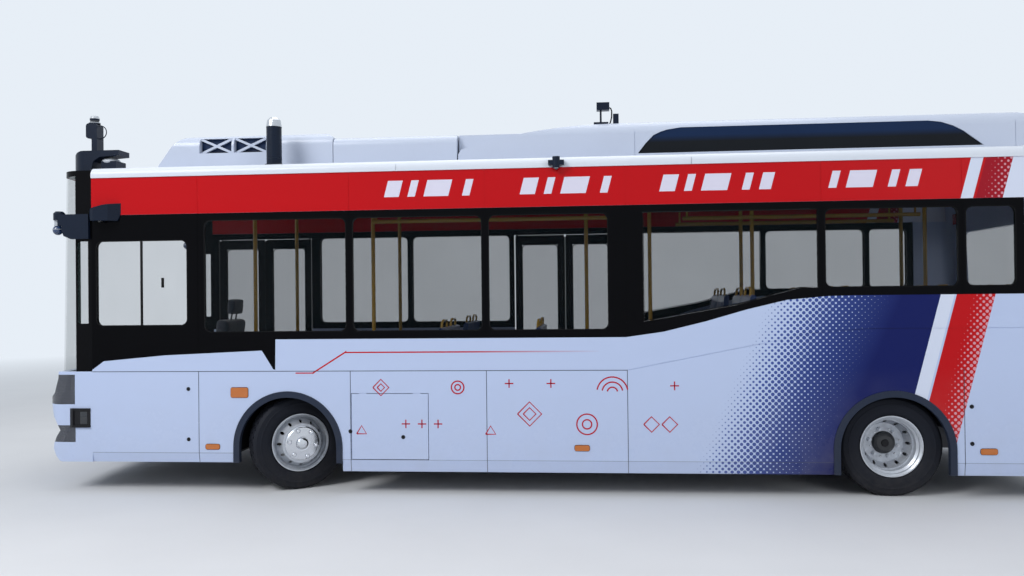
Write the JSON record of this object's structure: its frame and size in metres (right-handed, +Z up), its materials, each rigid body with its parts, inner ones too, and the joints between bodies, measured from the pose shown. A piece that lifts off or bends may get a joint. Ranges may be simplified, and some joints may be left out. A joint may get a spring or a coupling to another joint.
{
  "type": "airport passenger bus",
  "caption": "Low-floor electric airport midibus with two inward-swinging double doors on one side, steered front wheels, twin rear wheels, roof battery housings and corner camera pods.",
  "frame": {"origin": "on the ground, at the middle of the vehicle's bounding box", "axes": "X along the vehicle with the front at -X, Y across it with the door side at +Y, +Z up"},
  "size_m": [8.315, 2.614, 3.171],
  "materials": {
    "black_frame": "semi-gloss chassis paint",
    "grey_floor": "ribbed floor covering",
    "dark_plastic": "moulded",
    "pale_paint": "gloss paint",
    "gloss_black": "black-banded glass surround",
    "tinted_glass": "dark tint",
    "red_paint": "gloss paint",
    "lamp_glass": "clear lens",
    "amber_lens": "moulded lens",
    "red_lens": "moulded lens",
    "navy_plastic": "gloss",
    "black_rubber": "matt",
    "seat_cloth": "woven",
    "seat_blue": "moulded seat shell",
    "yellow_rail": "powder coat",
    "cast_metal": "painted casting",
    "grey_case": "satin",
    "tyre": "moulded tread",
    "wheel_steel": "silver paint",
    "door_glass": "tinted, black framed"
  },
  "bodies": {
    "bus_body": {"underframe": "black_frame", "floor_deck": "grey_floor", "wheel_housings": "dark_plastic", "left_side_wall": "pale_paint", "right_side_wall": "pale_paint", "left_window_frame": "gloss_black", "right_window_frame": "gloss_black", "left_glazing": "tinted_glass", "right_glazing": "tinted_glass", "left_cantrail": "red_paint", "right_cantrail": "red_paint", "roof_panel": "pale_paint", "front_mask": "pale_paint", "windscreen_frame": "gloss_black", "windscreen": "tinted_glass", "rear_panel": "pale_paint", "rear_upper": "pale_paint", "rear_window": "tinted_glass", "arch_trims": "dark_plastic", "front_lamps": "lamp_glass", "corner_sensors": "dark_plastic", "side_markers": "amber_lens", "tail_lamps": "red_lens", "camera_pods": "navy_plastic", "sensor_deck": "navy_plastic", "roof_sensors": "navy_plastic", "front_cover": "pale_paint", "low_cover": "pale_paint", "main_cover": "pale_paint", "cover_inserts": "navy_plastic", "wipers": "black_rubber", "dashboard": "dark_plastic", "driver_seat": "seat_cloth", "passenger_seats": "seat_blue", "handrails": "yellow_rail", "drive_motor": "cast_metal", "battery_block": "grey_case", "front_axle": "black_frame", "suspension": "black_rubber", "rear_axle": "black_frame"},
    "left_knuckle": {"left_knuckle": "cast_metal"},
    "right_knuckle": {"right_knuckle": "cast_metal"},
    "track_rod": {"track_rod": "black_frame"},
    "front_left_wheel": {"front_left_tyre": "tyre", "front_left_rim": "wheel_steel"},
    "front_right_wheel": {"front_right_tyre": "tyre", "front_right_rim": "wheel_steel"},
    "rear_left_wheels": {"rear_left_tyres": "tyre", "rear_left_rims": "wheel_steel"},
    "rear_right_wheels": {"rear_right_tyres": "tyre", "rear_right_rims": "wheel_steel"},
    "front_door_leaf_a": {"front_door_leaf_a": "door_glass"},
    "front_door_leaf_b": {"front_door_leaf_b": "door_glass"},
    "mid_door_leaf_a": {"mid_door_leaf_a": "door_glass"},
    "mid_door_leaf_b": {"mid_door_leaf_b": "door_glass"},
    "service_flap": {"service_flap": "pale_paint"},
    "rear_hatch": {"rear_hatch": "pale_paint"}
  },
  "joints": [
    {"name": "steer_left", "type": "hinge", "parent": "bus_body", "child": "left_knuckle", "pos_m": [-2.0375, -0.932, 0.3835], "axis": [0, 0, 1], "range_deg": [-72, 4]},
    {"name": "steer_right", "type": "hinge", "parent": "bus_body", "child": "right_knuckle", "pos_m": [-2.0375, 0.932, 0.3835], "axis": [0, 0, 1], "range_deg": [-72, 4]},
    {"name": "track_rod_pivot", "type": "hinge", "parent": "left_knuckle", "child": "track_rod", "pos_m": [-1.93802, -0.8649, 0.291], "axis": [0, 0, 1], "range_deg": [-4, 72]},
    {"name": "front_left_spin", "type": "hinge", "parent": "left_knuckle", "child": "front_left_wheel", "pos_m": [-2.00395, -0.98174, 0.3835], "axis": [-0.5592, 0.829, 0], "continuous": true},
    {"name": "front_right_spin", "type": "hinge", "parent": "right_knuckle", "child": "front_right_wheel", "pos_m": [-2.07105, 0.98174, 0.3835], "axis": [-0.5592, 0.829, 0], "continuous": true},
    {"name": "rear_left_spin", "type": "hinge", "parent": "bus_body", "child": "rear_left_wheels", "pos_m": [2.7305, -0.9165, 0.3835], "axis": [0, 1, 0], "continuous": true},
    {"name": "rear_right_spin", "type": "hinge", "parent": "bus_body", "child": "rear_right_wheels", "pos_m": [2.7305, 0.9165, 0.3835], "axis": [0, 1, 0], "continuous": true},
    {"name": "front_door_swing_a", "type": "hinge", "parent": "bus_body", "child": "front_door_leaf_a", "pos_m": [-3.5655, 1.193, 1.2], "axis": [0, 0, -1], "range_deg": [0, 88]},
    {"name": "front_door_swing_b", "type": "hinge", "parent": "bus_body", "child": "front_door_leaf_b", "pos_m": [-2.5895, 1.193, 1.2], "axis": [0, 0, 1], "range_deg": [0, 88]},
    {"name": "mid_door_swing_a", "type": "hinge", "parent": "bus_body", "child": "mid_door_leaf_a", "pos_m": [-0.3355, 1.193, 1.2], "axis": [0, 0, -1], "range_deg": [0, 88]},
    {"name": "mid_door_swing_b", "type": "hinge", "parent": "bus_body", "child": "mid_door_leaf_b", "pos_m": [0.6705, 1.193, 1.2], "axis": [0, 0, 1], "range_deg": [0, 88]},
    {"name": "service_flap_hinge", "type": "hinge", "parent": "bus_body", "child": "service_flap", "pos_m": [-1.1675, -1.2106, 0.8], "axis": [-1, 0, 0], "range_deg": [0, 95]},
    {"name": "rear_hatch_hinge", "type": "hinge", "parent": "bus_body", "child": "rear_hatch", "pos_m": [4.1531, 0, 1.13], "axis": [0, -1, 0], "range_deg": [0, 85]}
  ],
  "couplings": [
    {"joint": "steer_right", "follows": "steer_left", "ratio": 1},
    {"joint": "track_rod_pivot", "follows": "steer_left", "ratio": -1}
  ]
}
